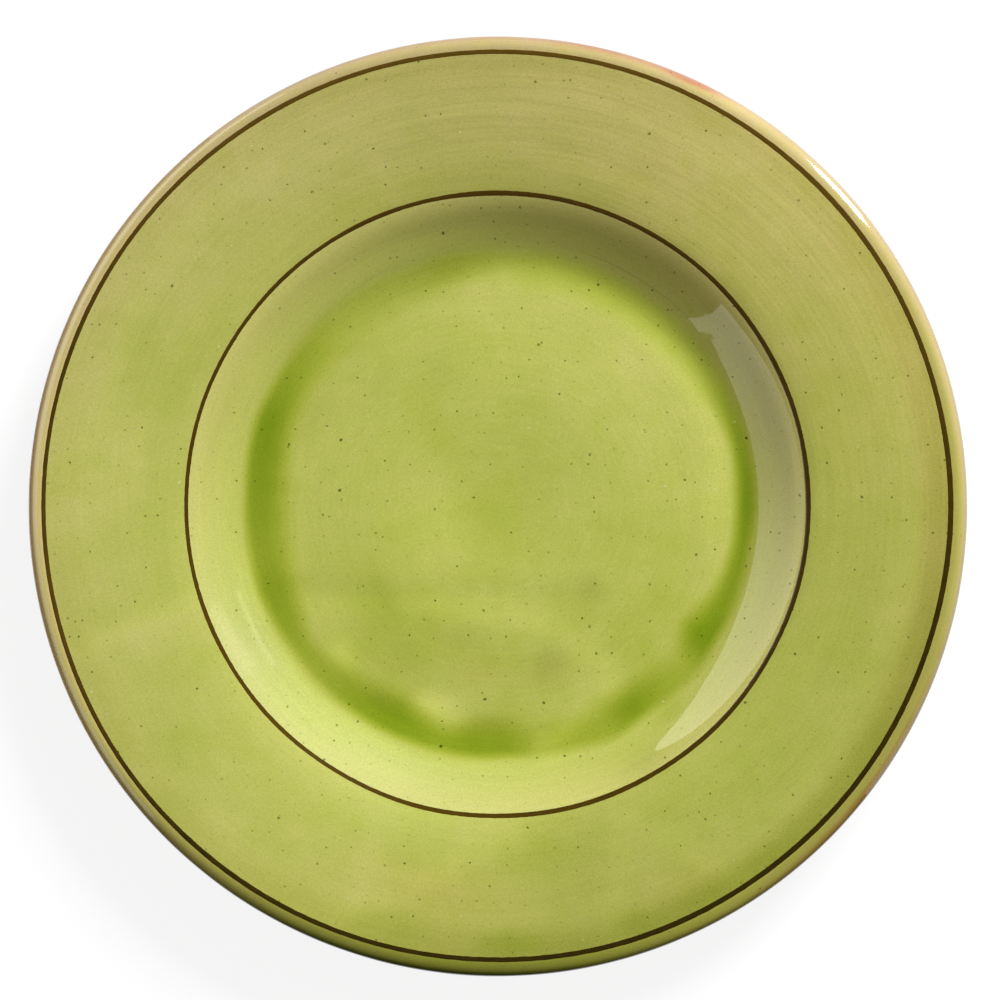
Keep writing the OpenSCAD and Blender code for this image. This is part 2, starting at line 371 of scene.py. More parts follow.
# Light and dark trails, painted shading of waves in the glaze's surface: half width in mm, amount, and the
# points that the trail runs through
WELL_TRAILS = [
    (4.2, 0.07, [(-54, -29), (-28, -27), (1, -30), (18, -36), (30, -46), (32, -55), (24, -63), (15, -69)]),
    (3.6, -0.05, [(-57, -21), (-42, -24), (-14, -23), (27, -24)]),
]
# Pale wisps on the wall of the well, painted reflections made by thinning and lightening the glaze: the same
# measures, in depth
WELL_PAINTED_REFLECTIONS = [
    (0.8, -0.17, [(-75, -25), (-73.7, -28), (-70.2, -36.5), (-68.8, -39.5), (-65, -45.5)]),
    (2.4, -0.12, [(-81, -30), (-77.5, -37), (-72, -45.5)]),
]
# Lighter trails on the rim: the same measures, in lightness
RIM_TRAILS = [
    (4, 0.05, [(-89, -27), (-105, -34), (-121, -42)]),
    (4.2, 0.05, [(-47, -118), (-22, -108), (3, -94)]),
    (4.2, 0.045, [(33, -123), (37, -89), (69, -107)]),
]


# Points over which values given by azimuth are blurred
BLUR = SEGMENTS // 60


def round_the_plate(keys, column):
    """Values at every azimuth from a column of keys that start with an azimuth, blurred a little."""
    azimuths = [key[0] for key in keys]
    values = np.interp(AZIMUTH, azimuths, [key[column] for key in keys], period=360)
    window = np.hanning(BLUR)
    long = np.concatenate([values[-BLUR:], values, values[:BLUR]])
    return np.convolve(long, window / window.sum(), "same")[BLUR:-BLUR]


def spots(table, x, y):
    """Sum of soft spots, each longer along the azimuth or across it."""
    total = np.zeros(np.broadcast(x, y).shape)
    for spot_x, spot_y, length, width, amount in table:
        out = math.hypot(spot_x, spot_y) or 1.0
        radial = (spot_x / out, spot_y / out)
        dx = x / MM - spot_x
        dy = y / MM - spot_y
        across = dx * radial[0] + dy * radial[1]
        along = dy * radial[0] - dx * radial[1]
        total += amount * np.exp(-((along / length) ** 2) - (across / width) ** 2)
    return total


def trails(table, x, y):
    """Sum of soft trails, each as strong as at its nearest point."""
    total = np.zeros(np.broadcast(x, y).shape)
    for half_width, amount, points in table:
        nearest = np.full(total.shape, np.inf)
        for (ax, ay), (bx, by) in zip(points, points[1:]):
            long = math.hypot(bx - ax, by - ay)
            way = ((bx - ax) / long, (by - ay) / long)
            gone = np.clip((x / MM - ax) * way[0] + (y / MM - ay) * way[1], 0, long)
            nearest = np.minimum(nearest, np.hypot(x / MM - ax - gone * way[0], y / MM - ay - gone * way[1]))
        total += amount * np.exp(-((nearest / half_width) ** 2))
    return total


mottle_large = ripples(SEED + 30, 24, 18 * MM, 45 * MM)
mottle_small = ripples(SEED + 31, 30, 6 * MM, 14 * MM)
surface_ripple = ripples(SEED + 32, 30, 14 * MM, 40 * MM)
crawl_ripple = ripples(SEED + 33, 30, 2 * MM, 5 * MM)
pool_depth = round_the_plate(POOL, 1)
pool_inner = round_the_plate(POOL, 2) * MM
pool_outer = round_the_plate(POOL, 3) * MM
# How uneven the coats are by chance, over long and over short stretches
GREEN_MOTTLE = (0.05, 0.03)
LIP_MOTTLE = (0, 0.05)
LIP_SHADE_MOTTLE = (0, 0.03)
UNDER_MOTTLE = (0.1, 0.05)
UNDER_FLUSH_MOTTLE = (0.15, 0)
UNDER_SHADE_MOTTLE = (0, 0.04)


def mottled(x, y, large, small):
    """How far a coat is from even, by chance."""
    return large * mottle_large(x, y) + small * mottle_small(x, y)


def step(start, end):
    """Share by radius that goes from 0 at start to 1 at end, outwards or inwards, in mm."""
    return lambda radius: smooth(radius, start * MM, end * MM)


def ring(middle, width):
    """Share by radius that is 1 at a middle and falls off on both sides over a width, in mm."""
    return lambda radius: np.exp(-(((radius / MM - middle) / width) ** 2))


def everywhere(radius):
    """The same share at every radius."""
    return 1.0


def summed(parts, radius):
    """Sum of parts, each with a share by radius and a list of amounts with their azimuth and half span."""
    total = np.zeros(np.broadcast(radius, AZIMUTH).shape)
    for share, amounts in parts:
        for amount, azimuth, span in amounts:
            total += amount * share(radius) * near(azimuth, span)
    return total


def field(base, parts=(), mottle=(0, 0), dots=(), lines=(), limits=(-math.inf, math.inf)):
    """A value by place: a base with parts, mottle, spots and trails added to it, held between limits."""

    def found(radius, x, y):
        total = base + summed(parts, radius) + mottled(x, y, *mottle)
        return np.clip(total + spots(dots, x, y) + trails(lines, x, y), *limits)

    return found


# Azimuth and half span of what goes all round
ROUND = (0, math.inf)
# Depth of the glaze in the well, and on the rim, where it is deeper to the south-east, and what is added to
# it in places
WELL_DEPTH = 0.98
WELL_DEPTH_PARTS = [
    (ring(0, 28), [(0.12, *ROUND)]),
    (ring(59, 6), [(-0.12, 30, 70)]),
    (step(73, 78), [(-0.2, 235, 45), (-0.17, 210, 9)]),
]
RIM_DEPTH = 0.93 + 0.2 * np.cos(THETA - math.radians(315))
RIM_DEPTH_PARTS = [
    (everywhere, [(-0.12, 55, 40), (0.1, 175, 45)]),
    (step(90, 135), [(-0.14, *ROUND)]),
    (step(101, 93), [(0.17, 112, 45), (-0.18, 240, 20), (-0.1, 300, 45)]),
    (ring(98.5, 5), [(0.08, 130, 80)]),
    (step(120, 127), [(0.1, *ROUND), (0.26, 310, 38), (0.08, 250, 20), (-0.07, 155, 45)]),
]
# How much the glaze thins up the wall of the well, between two radii
WALL_THINNING = 0.336
WALL_FROM = 74.8 * MM
WALL_TO = 89.68 * MM
# How soft the pool's edges are: the inner as a share of its width, the outer as a length
POOL_FLANK = 0.55
POOL_BLUR = 2.2 * MM
# Share of its depth that the pool reaches between them
POOL_PEAK = 0.9
# Share by radius of the floor
FLOOR_SHARE = step(74, 66)
# Least and most depth
DEPTH_LIMITS = (0.35, 3)
# How brown the ground is in places, and where the glaze is deep
WELL_STAIN_PARTS = [
    (step(73, 77), [(0.7, 35, 50), (-1.15, 232, 42)]),
    (step(74, 80), [(-0.5, 208, 14)]),
    (step(74, 88), [(0.3, *ROUND)]),
]
RIM_STAIN_PARTS = [
    (everywhere, [(0.9, 60, 65), (0.4, 268, 25)]),
    (step(107, 97), [(-0.6, 255, 18)]),
    (step(117, 129), [(0.4, *ROUND), (1.1, 357, 45)]),
]
DEEP_STAIN = 0.7
STAIN_LIMITS = (-1.3, 1.5)
# What is added to how light the colour is, in places, partly slip and partly painted shading of the glaze's
# relief and slope, and how much lighter a painted reflection is for its depth
WELL_SHADE_PARTS = [
    (ring(67.5, 5), [(0.12, 30, 40), (-0.13, 112, 18), (0.12, 252, 14)]),
    (ring(71, 3.5), [(0.1, 66, 24), (-0.1, 190, 42), (-0.06, 285, 12), (-0.08, 102, 13)]),
    (ring(75, 2), [(0.08, 80, 14)]),
    (step(75, 79), [(0.13, 118, 30), (-0.1, 208, 14), (-0.05, 255, 20)]),
]
RIM_LIGHT = 0.92
RIM_SHADE_PARTS = [
    (everywhere, [(0.08, 28, 38), (0.04, 52, 12), (-0.05, 98, 22), (0.06, 242, 25), (-0.07, 287, 12)]),
    (step(97, 92), [(0.06, 105, 30)]),
    (step(98, 106), [(0.05, 174, 12)]),
    (ring(111, 10), [(-0.035, *ROUND)]),
    (step(108, 122), [(-0.035, 105, 35)]),
    (step(117, 129), [(-0.06, *ROUND), (-0.11, 315, 40), (-0.09, 268, 16), (-0.06, 350, 20)]),
]
REFLECTION_LIGHT = 0.4


def well_depth(radius, x, y):
    """Depth of the glaze in the well, thinner up the wall and pooled in the corner."""
    depth = WELL_DEPTH + summed(WELL_DEPTH_PARTS, radius)
    depth -= np.interp(radius, (WALL_FROM, WALL_TO), (0, WALL_THINNING))
    flank = POOL_FLANK * (pool_outer - pool_inner)
    pool = smooth(radius, pool_inner - flank, pool_inner + flank)
    pool *= 1 - smooth(radius, pool_outer - POOL_BLUR, pool_outer + POOL_BLUR)
    depth += pool_depth * pool / POOL_PEAK
    depth += FLOOR_SHARE(radius) * mottled(x, y, *GREEN_MOTTLE)
    # Painted reflections on the wall thin the glaze there, which makes it paler
    return np.clip(depth + spots(WELL_SPOTS, x, y) + trails(WELL_PAINTED_REFLECTIONS, x, y), *DEPTH_LIMITS)


def well_stain(radius, x, y):
    """How brown the ground under the glaze of the well is, below 0 where it is greener."""
    deep = np.clip(DEEP_STAIN * (well_depth(radius, x, y) - 1), 0, 1)
    return np.clip(summed(WELL_STAIN_PARTS, radius) + deep + spots(WELL_STAINS, x, y), *STAIN_LIMITS)


# How light the colour is in the well, partly painted shading and with painted reflections, and depth, stain
# and lightness on the rim, the lightness partly painted shading
reflection_lights = [(half_width, -REFLECTION_LIGHT * depth, points) for half_width, depth, points in WELL_PAINTED_REFLECTIONS]
well_shade = field(1, WELL_SHADE_PARTS, dots=WELL_SHADES, lines=WELL_TRAILS + reflection_lights)
rim_depth = field(RIM_DEPTH, RIM_DEPTH_PARTS, GREEN_MOTTLE, RIM_SPOTS, limits=DEPTH_LIMITS)
rim_stain = field(0, RIM_STAIN_PARTS, dots=RIM_STAINS, limits=STAIN_LIMITS)
rim_shade = field(RIM_LIGHT, RIM_SHADE_PARTS, lines=RIM_TRAILS)


# Surfaces of the coats

# Places along the walk at which the thrown face is reckoned
THROWN_PLACES = 3000


def thrown_rise():
    """Places along the walk and how far the thrown face stands over the true one, 0 where parts meet."""
    places = np.linspace(0, walk.arc_start(LIP_TOP), THROWN_PLACES)
    radius, level = walk.above(places, SLIP_T + GLAZE_T)
    slope = np.arctan2(np.gradient(level), np.gradient(radius))
    radii, degrees = zip(*FACE_SLOPES)
    thrown = np.radians(np.interp(radius / MM, radii, degrees))
    rise = np.cumsum(np.tan(thrown - slope)) * (places[1] - places[0])
    meets = [0, walk.arc_start(FLOOR_CORNER), walk.arc_middle(SHOULDER), walk.arc_start(LIP_TOP)]
    return places, rise - np.interp(places, meets, np.interp(meets, places, rise))


THROWN_RISE = thrown_rise()


def face_height(s):
    """Height of the finished face above the clay, one row a ring and one column an azimuth."""
    pool_from = walk.arc_start(FLOOR_CORNER) - POOL_IN
    pool = np.clip((s - pool_from) / (walk.arc_end(FLOOR_CORNER) - pool_from), 0, 1)
    wall_from = walk.arc_end(FLOOR_CORNER)
    wall = np.clip((s - wall_from) / (walk.arc_start(SHOULDER) - wall_from), 0, 1)
    radius, _ = walk.above(s, SLIP_T + GLAZE_T)
    x, y = spread_out(radius)
    on_wall = smooth(wall, 0, CRAWL_FADE) * (1 - smooth(wall, 1 - CRAWL_FADE, 1))
    crawl = near(CRAWL_AT, CRAWL_SPAN) * on_wall
    height = SLIP_T + GLAZE_T + np.interp(s, *THROWN_RISE)
    height = height + POOL_RISE * pool_depth * np.sin(math.pi * pool) ** 2
    for rise, azimuth, length, out, width in CRAWL_HUMPS:
        height = height + rise * MM * near(azimuth, length) * ring(out, width)(radius)
    return height + RIPPLE * surface_ripple(x, y) + CRAWL * crawl * crawl_ripple(x, y)


# A worn flat on the lip that catches the light: its azimuth, half its length and how it fades, in degrees,
# its slope and half its span
FLAT_AT = 42.5
FLAT_HALF = 3.5
FLAT_FADE = 2.5
FLAT_SLOPE = math.radians(40)
FLAT_SPAN = math.radians(13)


def lip_flat(s):
    """How far the flat cuts into the round of the lip."""
    start = walk.arc_start(LIP_TOP)
    round_r = (walk.arc_end(LIP_TOP) - start) / (math.pi / 2 + LIP_ANGLE)
    slope = np.clip((s - start) / round_r, 0, math.pi / 2) - LIP_ANGLE
    cut = np.clip(1 - math.cos(FLAT_SPAN) / np.cos(slope - FLAT_SLOPE), 0, None)
    along = 1 - smooth(np.abs(turn_from(FLAT_AT)), FLAT_HALF, FLAT_HALF + FLAT_FADE)
    return (round_r + SLIP_T + GLAZE_T) * cut * along


# Over what length the lip's glaze thins, and how thick it is where it ends
LIP_THINNING = 2.5 * MM
LIP_END_T = 0.15 * MM


def lip_height(s):
    """Height of the finished lip, which thins towards the underside."""
    thin = smooth(s, face_end - LIP_THINNING, face_end)
    return (face_height(s) - lip_flat(s)) * (1 - thin) + (SLIP_T + LIP_END_T) * thin


# The glaze underneath: length of the bead that it ends in, how far that swells, how much more it ripples
# than the face, and how far aside its ripples are taken from
BEAD = 1.2 * MM
BEAD_SWELL = 0.3
BACK_RIPPLE = 2
BACK_ASIDE = 0.3


def back_height(s, edge, inwards):
    """Height of the glaze underneath, which ends in a rounded bead at an edge."""
    radius, _ = walk.above(s, BACK_T)
    x, y = spread_out(radius)
    ripple = surface_ripple(x + BACK_ASIDE, y)
    beads = inwards * (s - edge) / BEAD
    gone = np.clip(beads, 0, 1)
    swell = 1 + BEAD_SWELL * np.exp(-((beads - 1) ** 2))
    return (BACK_T + BACK_RIPPLE * RIPPLE * ripple) * swell * np.sqrt(1 - (1 - gone) ** 2)


def rows(start, end, shares):
    """Places along the walk between two edges, one row a ring and one column an azimuth."""
    start = np.broadcast_to(start, (SEGMENTS,))
    end = np.broadcast_to(end, (SEGMENTS,))
    return start + np.asarray(shares)[:, None] * (end - start)


def shares(start, end, spacing):
    """Even shares from 0 to 1 with rings about a spacing apart."""
    return np.linspace(0, 1, max(2, math.ceil((np.mean(end) - np.mean(start)) / spacing) + 1))


def placed(name, data):
    """A new object in the scene."""
    made = bpy.data.objects.new(name, data)
    bpy.context.scene.collection.objects.link(made)
    return made


# Least angle between faces that makes their edge a sharp one
SHARP = math.radians(40)


def turned(name, rings, poles, values):
    """A closed piece from rings of points, which join end to end or close on a pole at both ends."""
    count = len(rings)
    points = rings.reshape(-1, 3)
    here = np.arange(SEGMENTS)
    beside = np.roll(here, -1)
    faces = []
    pairs = [(i, i + 1) for i in range(count - 1)]
    if poles is None:
        pairs.append((count - 1, 0))
    for low, high in pairs:
        quads = np.stack([here + low * SEGMENTS, here + high * SEGMENTS,
                          beside + high * SEGMENTS, beside + low * SEGMENTS], axis=1)
        faces.extend(quads.tolist())
    if poles is not None:
        first = np.full(SEGMENTS, len(points))
        end = (count - 1) * SEGMENTS
        points = np.concatenate([points, poles])
        faces.extend(np.stack([first, here, beside], axis=1).tolist())
        faces.extend(np.stack([here + end, first + 1, beside + end], axis=1).tolist())
    mesh = bpy.data.meshes.new(name)
    mesh.from_pydata(points.tolist(), [], faces)
    mesh.polygons.foreach_set("use_smooth", np.ones(len(faces), bool))
    for label, value in values.items():
        data = value.ravel()
        if poles is not None:
            data = np.concatenate([data, [value[0].mean(), value[-1].mean()]])
        mesh.attributes.new(label, "FLOAT", "POINT").data.foreach_set("value", data.astype(np.float32))
    mesh.set_sharp_from_angle(angle=SHARP)
    return placed(name, mesh)


def even(value):
    """A field that is the same on every ring."""
    return lambda radius, x, y: np.broadcast_to(value, radius.shape)


def coat(name, places, height, under, fields, skip=4, middle=None):
    """
    A coat over the clay, from its finished height down to what it lies on. fields gives values by place.
    There are skip seen rings for each hidden one. middle says which end of the places is the plate's middle.
    """
    radius, level = walk.above(places, height)
    seen = warped(radius, level)
    hidden = places[::-skip]
    if middle is None and len(places) % skip != 1:
        hidden = np.concatenate([hidden, places[:1]])
    order = -1 if middle == "last" else 1
    rings = np.concatenate([seen, warped(*walk.above(hidden, under))][::order])
    values = {}
    for label, field in fields.items():
        found = field(radius, seen[..., 0], seen[..., 1])
        values[label] = np.concatenate([found, np.broadcast_to(found.mean(), hidden.shape)][::order])
    poles = None if middle is None else [(0, 0, end[:, 2].mean()) for end in (rings[0], rings[-1])]
    return turned(name, rings, poles, values)


def dress(piece, node, material):
    """Gives a piece its finish and its place in the frame."""
    piece.data.materials.append(material)
    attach(piece, "root")
    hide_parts(node)


# Materials

# Colours in linear light
SLIP = (0.743, 0.646, 0.366)
STAINED = (0.76, 0.605, 0.36)
LIP_SLIP = (0.735, 0.57, 0.325)
PINK_CLAY = (0.64, 0.27, 0.17)
RED_CLAY = (0.42, 0.155, 0.085)
BAND_DARK = (0.028, 0.018, 0.0004)
# the bands' pale colour, for dry-brushed wear and for painted light
BAND_WORN_AND_LIT = (0.1, 0.056, 0.004)
SPECK = (0.05, 0.055, 0.004)
PINHOLE = (0.75, 0.68, 0.45)
# Share of red, green and blue light that comes back through one depth of the glaze
CLEARNESS = (0.614, 0.76, 0.268)
GLAZE_IOR = 1.5
# Specks in the glaze: strength, colour, size of a cell, share of the cells that hold one, largest radius,
# strength of the faintest, seed
GLAZE_SPECKS = [
    (0.8, SPECK, 5 * MM, 0.75, 0.33 * MM, 0.32, 0.31),
    (0.95, SPECK, 15 * MM, 0.25, 0.48 * MM, 0.6, 0.87),
    (0.8, PINHOLE, 20 * MM, 0.35, 0.32 * MM, 0.4, 0.53),
]
LIP_SPECKS = [(0.8, SPECK, 3 * MM, 0.6, 0.36 * MM, 0.4, 0.31)]
# How ragged specks are, as a share of their radius, how far they crowd together, and waves a metre of both
SHAKE = 1.7
SHAKE_SCALE = 1400.0
CROWD = 0.8
CROWD_SCALE = 35.0
# How rare the strong ones are, as a power, the least radius as a share of the largest, and how soft their
# edges are, as shares of the radius
RARITY = 5.0
SMALLEST = 0.55
SOFT_EDGE = (0.7, 1.15)
# Grain of the ground and of the glaze's depth: waves a metre, and how strong it is
GRAIN_SCALE = 2600.0
GLAZE_GRAIN = 0.2
LIP_GRAIN = 0.16
DEPTH_SCALE = 1700.0
DEPTH_GRAIN = 0.28
# Kind of node that reckons with vectors
VECTOR_MATH = "ShaderNodeVectorMath"


class Nodes:
    """The node tree of a material or a lamp, with short calls for the nodes that they share."""

    def __init__(self, owner):
        owner.use_nodes = True
        self.tree = owner.node_tree

    def set(self, socket, value):
        """Links a socket to another, or gives it a value."""
        if isinstance(value, bpy.types.NodeSocket):
            self.tree.links.new(value, socket)
        elif socket.type == "RGBA":
            socket.default_value = (*value, 1)
        else:
            socket.default_value = value

    def node(self, kind, settings=None, **sockets):
        made = self.tree.nodes.new(kind)
        for label, value in (settings or {}).items():
            setattr(made, label, value)
        for label, value in sockets.items():
            self.set(made.inputs[label], value)
        return made

    def math(self, operation, *values, kind="ShaderNodeMath"):
        made = self.node(kind, {"operation": operation})
        for socket, value in zip(made.inputs, values):
            self.set(socket, value)
        return made.outputs[0]

    def scaled(self, value, factor, offset=0.0):
        return self.math("MULTIPLY_ADD", value, factor, offset)

    def square(self, value):
        return self.math("MULTIPLY", value, value)


class Graph(Nodes):
    """A finish, with the nodes that only the finishes use."""

    def __init__(self, name):
        self.material = bpy.data.materials.new(name)
        super().__init__(self.material)
        self.shader = self.tree.nodes["Principled BSDF"]
        self.place = self.node("ShaderNodeTexCoord").outputs["Object"]
        parts = self.node("ShaderNodeSeparateXYZ", Vector=self.place).outputs
        self.x = parts["X"]
        self.y = parts["Y"]
        self.radius = self.math("SQRT", self.math("ADD", self.square(self.x), self.square(self.y)))

    def ramp(self, value, low, high, start=0.0, end=1.0):
        """Start below low, end above high, and an even S between them."""
        made = self.node("ShaderNodeMapRange", {"interpolation_type": "SMOOTHSTEP"}, Value=value)
        for label, number in zip(("From Min", "From Max", "To Min", "To Max"), (low, high, start, end)):
            self.set(made.inputs[label], number)
        return made.outputs["Result"]

    def vector(self, x, y, z):
        return self.node("ShaderNodeCombineXYZ", X=x, Y=y, Z=z).outputs["Vector"]

    def noise(self, vector, scale, detail=2.0, roughness=0.5):
        """Noise from about -1 to 1."""
        made = self.node("ShaderNodeTexNoise", {"normalize": True}, Vector=vector, Scale=scale, Detail=detail,
                         Roughness=roughness)
        return self.scaled(made.outputs["Fac"], 2.0, -1.0)

    def mix(self, factor, a, b, blend="MIX"):
        settings = {"data_type": "RGBA", "blend_type": blend, "clamp_factor": False}
        made = self.node("ShaderNodeMix", settings)
        self.set(made.inputs["Factor"], factor)
        self.set(made.inputs[6], a)
        self.set(made.inputs[7], b)
        return made.outputs[2]

    def attribute(self, name):
        return self.node("ShaderNodeAttribute", {"attribute_name": name}).outputs["Fac"]

    def bump(self, height, distance):
        return self.node("ShaderNodeBump", Height=height, Distance=distance, Strength=1.0).outputs["Normal"]

    def added(self, value, noise, amount):
        """A value with an amount of noise on it."""
        return self.math("ADD", value, self.scaled(noise, amount))

    def lit(self, ground, level):
        """A ground made lighter or darker."""
        return self.mix(1.0, ground, self.vector(level, level, level), "MULTIPLY")

    def streaks(self, turns, spacing, detail=2.0):
        """Noise drawn out along the circles of the wheel, with lines about a spacing apart."""
        wound = [self.scaled(self.math("DIVIDE", way, self.radius), turns) for way in (self.x, self.y)]
        return self.noise(self.vector(*wound, self.scaled(self.radius, 1 / spacing)), 1.0, detail, 0.6)

    def sunk(self, ground, depth):
        """Colour of a ground seen through a depth of green glaze."""
        left = self.vector(*[self.math("POWER", share, depth) for share in CLEARNESS])
        return self.mix(1.0, ground, left, "MULTIPLY")

    def specks(self, cell, share, radius, faintest, seed, space):
        """Mask of scattered specks: a share of the cells holds one of up to a radius, most of them faint."""
        shaken = self.node("ShaderNodeTexNoise", Vector=self.place, Scale=SHAKE_SCALE).outputs["Color"]
        offset = self.math("MULTIPLY", shaken, [radius * SHAKE] * 3, kind=VECTOR_MATH)
        place = self.math("ADD", self.place, offset, kind=VECTOR_MATH)
        place = self.math("ADD", place, (seed, seed * 0.7, 0.0), kind=VECTOR_MATH)
        cells = self.node("ShaderNodeTexVoronoi", {"voronoi_dimensions": space, "feature": "F1"},
                          Vector=place, Scale=1 / cell)
        chance = self.node("ShaderNodeSeparateColor", Color=cells.outputs["Color"]).outputs
        crowded = self.added(chance["Red"], self.noise(place, CROWD_SCALE, 1.0), CROWD)
        held = self.math("GREATER_THAN", crowded, 1 - share)
        strength = self.scaled(self.math("POWER", chance["Green"], RARITY), 1 - faintest, faintest)
        limit = self.scaled(self.scaled(chance["Green"], 1 - SMALLEST, SMALLEST), radius / cell)
        mask = self.ramp(self.math("DIVIDE", cells.outputs["Distance"], limit), *SOFT_EDGE, 1.0, 0.0)
        return self.math("MULTIPLY", self.math("MULTIPLY", mask, held), strength)

    def speckled(self, colour, table, space="2D"):
        """A colour with specks from a table on it."""
        for strength, speck, *sizes in table:
            colour = self.mix(self.scaled(self.specks(*sizes, space), strength), colour, speck)
        return colour

    def finish(self, colour, roughness, normal):
        sockets = {"Base Color": colour, "Roughness": roughness, "IOR": GLAZE_IOR, "Normal": normal}
        for label, value in sockets.items():
            self.set(self.shader.inputs[label], value)
        return self.material


# A fine turning mark low on the wall of the well: its radius, half its width, how dark it is and where
MARK_R = 77.5 * MM
MARK_W = 0.22 * MM
MARK = 0.2 * near(60, 12)
# How strong the streaks from the wheel are in the well, and on the rim, by azimuth
WELL_STREAK = 0.07
RIM_STREAK = 0.0525 + 0.0975 * near(60, 60)


def green_glaze(name):
    """Green glaze over stained slip: depth, stain and shade come with the mesh, the shade partly painted
    shading, streaks from the wheel.
    """
    g = Graph(name)
    fine = g.streaks(turns=3.5, spacing=0.9 * MM)
    mark = g.ramp(g.math("ABSOLUTE", g.math("SUBTRACT", g.radius, MARK_R)), 0.3 * MARK_W, MARK_W)
    level = g.math("MULTIPLY", g.attribute("streak"), fine)
    level = g.added(level, g.noise(g.place, GRAIN_SCALE), GLAZE_GRAIN)
    level = g.math("ADD", level, g.math("MULTIPLY", g.attribute("mark"), g.math("SUBTRACT", mark, 1.0)))
    # Shade is partly painted shading of the glaze's relief and slope, with painted reflections on the wall of
    # the well
    level = g.math("ADD", level, g.attribute("shade"))
    depth = g.added(g.attribute("depth"), g.streaks(turns=3.0, spacing=4.5 * MM), 0.035)
    depth = g.added(depth, g.noise(g.place, DEPTH_SCALE), DEPTH_GRAIN)
    ground = g.lit(g.mix(g.attribute("stain"), SLIP, STAINED), level)
    colour = g.speckled(g.sunk(ground, depth), GLAZE_SPECKS)
    rough = g.scaled(g.noise(g.place, scale=400.0), 0.008, 0.03)
    return g.finish(colour, rough, g.bump(fine, distance=0.0005 * MM))


def straw_glaze():
    """Thin glaze over slip on the lip, where the pink clay flushes through towards the edge."""
    g = Graph("straw_glaze")
    fine = g.streaks(turns=14.0, spacing=0.8 * MM)
    patchy = g.noise(g.place, scale=60.0, detail=3.0)
    flush = g.added(g.attribute("flush"), patchy, 0.1)
    # Shade holds painted shade at the lip's south edge and painted light at its west edge
    level = g.added(g.attribute("shade"), g.noise(g.place, GRAIN_SCALE), LIP_GRAIN)
    ground = g.lit(g.mix(g.ramp(flush, 0.0, 1.0), LIP_SLIP, PINK_CLAY), level)
    depth = g.added(g.added(g.attribute("depth"), fine, 0.06), patchy, 0.08)
    colour = g.speckled(g.sunk(ground, depth), LIP_SPECKS, "3D")
    rough = g.scaled(patchy, 0.02, 0.09)
    return g.finish(colour, rough, g.bump(fine, distance=0.0003 * MM))


def brown_band():
    """Iron brown brushed on in bands, paler in patches where the brush ran dry, and lighter and darker round
    the plate as painted light.
    """
    g = Graph("brown_band")
    patchy = g.noise(g.place, scale=260.0, detail=3.0)
    wear_and_light = g.math("MAXIMUM", g.added(g.attribute("wear_and_light"), patchy, 0.22), 0.0)
    colour = g.mix(wear_and_light, BAND_DARK, BAND_WORN_AND_LIT)
    rough = g.scaled(patchy, 0.04, 0.14)
    return g.finish(colour, rough, g.bump(patchy, distance=0.01 * MM))


def pale_slip():
    """Cream slip under the glaze, brushed on round the wheel."""
    g = Graph("pale_slip")
    brush = g.streaks(turns=6.0, spacing=1.2 * MM, detail=3.0)
    colour = g.mix(g.ramp(brush, -0.6, 0.8), SLIP, STAINED)
    return g.finish(colour, 0.55, g.bump(brush, distance=0.02 * MM))


def fired_clay():
    """Red earthenware, bare on the foot ring, with turning marks and grog."""
    g = Graph("fired_clay")
    marks = g.streaks(turns=20.0, spacing=0.5 * MM, detail=3.0)
    grog = g.noise(g.place, scale=1500.0, detail=3.0, roughness=0.7)
    blush = g.noise(g.place, scale=45.0)
    colour = g.mix(g.ramp(g.math("ADD", grog, blush), -0.8, 0.9), RED_CLAY, PINK_CLAY)
    height = g.math("ADD", g.scaled(marks, 0.6), grog)
    return g.finish(colour, g.scaled(grog, 0.06, 0.8), g.bump(height, distance=0.04 * MM))


# Pieces

# How far apart the rings of the clay, the slip and the well are, each up to a place along the walk
CLAY_RINGS = [
    (walk.arc_start(SHOULDER), 4 * MM),
    (walk.arc_end(LIP_LOW), 1.5 * MM),
    (walk.arc_start(FOOT_OUT_TOP), 4 * MM),
    (walk.arc_end(FOOT_IN_TOP), 0.4 * MM),
]
SLIP_RINGS = [(60 * MM, 4 * MM), (walk.arc_middle(LIP_LOW), 1.2 * MM)]
WELL_RINGS = [(56 * MM, 1.5 * MM), (64 * MM, 0.9 * MM), (walk.arc_middle(SHOULDER), 0.6 * MM)]
# The same on the rim, the lip and underneath, and how many rings shape the clay's base, a band and a bead
RIM_RING = 0.5 * MM
LIP_RING = 0.3 * MM
UNDER_RING = 0.8 * MM
BASE_RINGS = 12
LINE_RINGS = 9
BEAD_RINGS = 9


def stepped(steps):
    """Places along the walk, from after its start to the last of the steps."""
    found = []
    at = 0.0
    for limit, spacing in steps:
        found.append(np.arange(at, limit, spacing))
        at = limit
    return np.concatenate([*found, [at]])[1:]


def from_middle(steps):
    """Shares of the way from near the middle to an edge."""
    places = stepped(steps)
    return places / places[-1]


def make_clay():
    base = np.linspace(walk.arc_end(FOOT_IN_TOP), walk.end, BASE_RINGS)
    places = np.concatenate([stepped(CLAY_RINGS), base[1:-1]])
    rings = warped(*walk.above(rows(0, 1, places), 0))
    poles = [(0, 0, FOOT_H + FLOOR_T), (0, 0, FOOT_H)]
    dress(turned("clay", rings, poles, {}), "clay_body", fired_clay())


# How far the slip stops short of the lip's glaze, and seen rings for each hidden one in slip and well
SLIP_SHORT = 0.05 * MM
DISC_SKIP = 5


def make_slip():
    places = rows(0, face_end - SLIP_SHORT, from_middle(SLIP_RINGS))
    piece = coat("slip", places, SLIP_T, 0, {}, DISC_SKIP, "first")
    dress(piece, "slip_coat", pale_slip())


